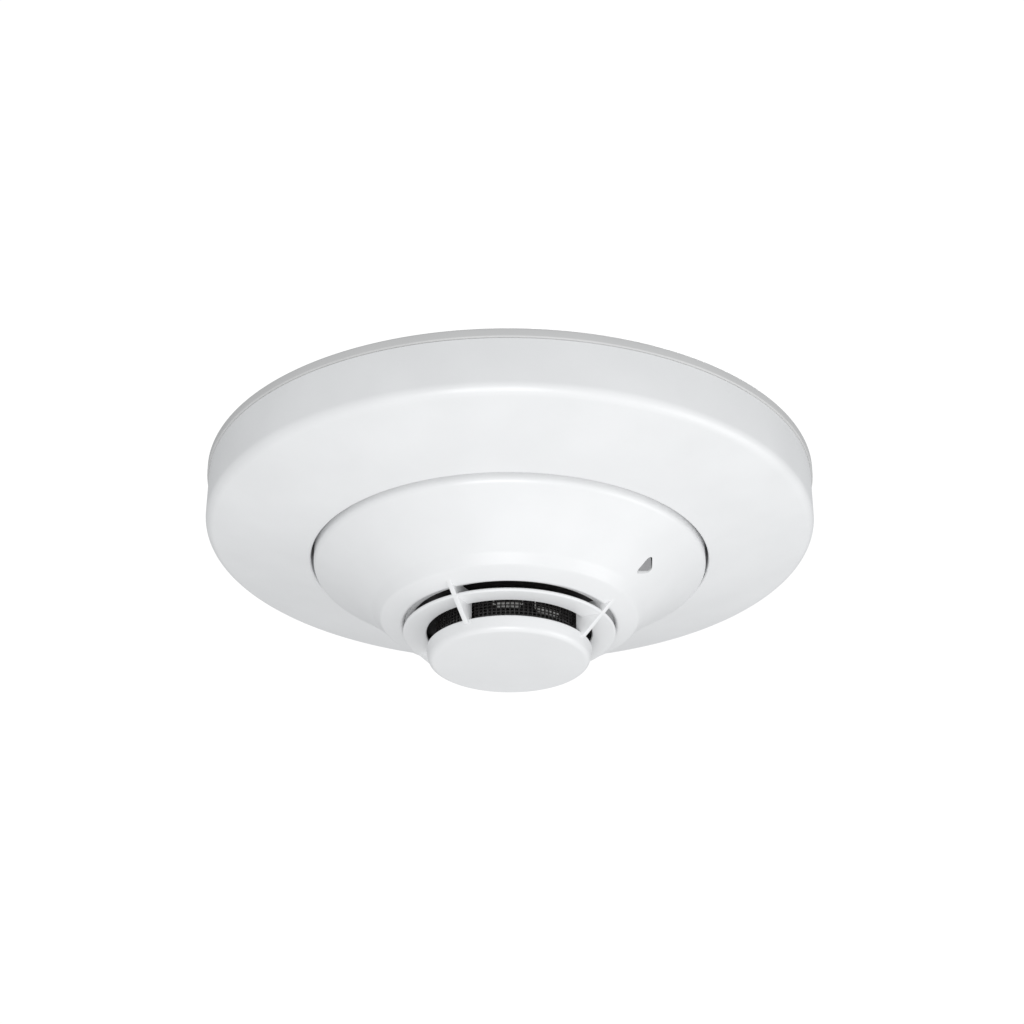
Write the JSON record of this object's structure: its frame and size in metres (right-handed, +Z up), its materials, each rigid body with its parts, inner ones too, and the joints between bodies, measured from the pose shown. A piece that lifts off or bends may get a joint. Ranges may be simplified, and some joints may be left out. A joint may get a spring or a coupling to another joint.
{
  "type": "heat detector",
  "caption": "Round ceiling heat detector: plug-in bell-shaped head with a louvred nose on a flanged base with a trim ring.",
  "frame": {"origin": "centre of the base's mounting face, midway between the wide pair of box screw slots", "axes": "+Z up into the ceiling, so the detector hangs towards -Z; +X along the wide pair of slots"},
  "size_m": [0.1596, 0.1596, 0.051],
  "materials": {
    "cover_plastic": "semi-gloss moulded white",
    "base_plastic": "satin moulded off-white",
    "black_plastic": "satin black",
    "screen_metal": "blackened perforated sheet",
    "element_coating": "dipped coating",
    "clear_pipe": "clear moulded acrylic",
    "lamp_lens": "tinted lens",
    "zinc_steel": "bright zinc plate",
    "contact_brass": "plain spring brass",
    "board_laminate": "green solder mask",
    "switch_plastic": "black moulded",
    "rotor_plastic": "cream moulded",
    "reed_glass": "greenish glass tube",
    "can_aluminium": "sleeved can",
    "chip_plastic": "moulded package",
    "label_film": "blank film label"
  },
  "bodies": {
    "base": {"base_plate": "base_plastic", "terminal_screws": "zinc_steel", "terminal_clamps": "zinc_steel", "contact_spring_1": "contact_brass", "contact_spring_2": "contact_brass", "contact_spring_3": "contact_brass", "contact_spring_4": "contact_brass"},
    "trim_ring": {"trim_ring": "cover_plastic"},
    "tamper_lever": {"tamper_lever": "base_plastic"},
    "head": {"head_cover": "cover_plastic", "vent_cage": "cover_plastic", "sensor_guard": "black_plastic", "vent_screen": "screen_metal", "thermistor_1": "element_coating", "thermistor_2": "element_coating", "light_pipe_1": "clear_pipe", "light_pipe_2": "clear_pipe", "status_lamp_1": "lamp_lens", "status_lamp_2": "lamp_lens", "head_chassis": "base_plastic", "circuit_board": "board_laminate", "board_screws": "zinc_steel", "cover_screws": "zinc_steel", "address_switch_tens": "switch_plastic", "address_switch_ones": "switch_plastic", "reed_switch": "reed_glass", "capacitor_1": "can_aluminium", "capacitor_2": "can_aluminium", "controller": "chip_plastic", "small_components": "chip_plastic", "rating_label": "label_film", "contact_blade_1": "contact_brass", "contact_blade_2": "contact_brass", "contact_blade_3": "contact_brass", "contact_blade_4": "contact_brass"},
    "address_rotor_tens": {"address_rotor_tens": "rotor_plastic"},
    "address_rotor_ones": {"address_rotor_ones": "rotor_plastic"}
  },
  "joints": [
    {"name": "head_twist", "type": "hinge", "parent": "base", "child": "head", "pos_m": [0, 0, -0.012], "axis": [0, 0, 1], "range_deg": [-22, 0]},
    {"name": "trim_ring_turn", "type": "hinge", "parent": "base", "child": "trim_ring", "pos_m": [0, 0, -0.006], "axis": [0, 0, 1], "range_deg": [-10, 10]},
    {"name": "tamper_lever_flex", "type": "hinge", "parent": "base", "child": "tamper_lever", "pos_m": [-0.02628, -0.03896, -0.0095], "axis": [0, 0, 1], "range_deg": [0, 5], "stiffness_Nm_per_rad": 0.05},
    {"name": "tens_switch_turn", "type": "hinge", "parent": "head", "child": "address_rotor_tens", "pos_m": [-0.0086, 0.009, -0.01], "axis": [0, 0, 1], "continuous": true},
    {"name": "ones_switch_turn", "type": "hinge", "parent": "head", "child": "address_rotor_ones", "pos_m": [0.0086, 0.009, -0.01], "axis": [0, 0, 1], "continuous": true}
  ]
}
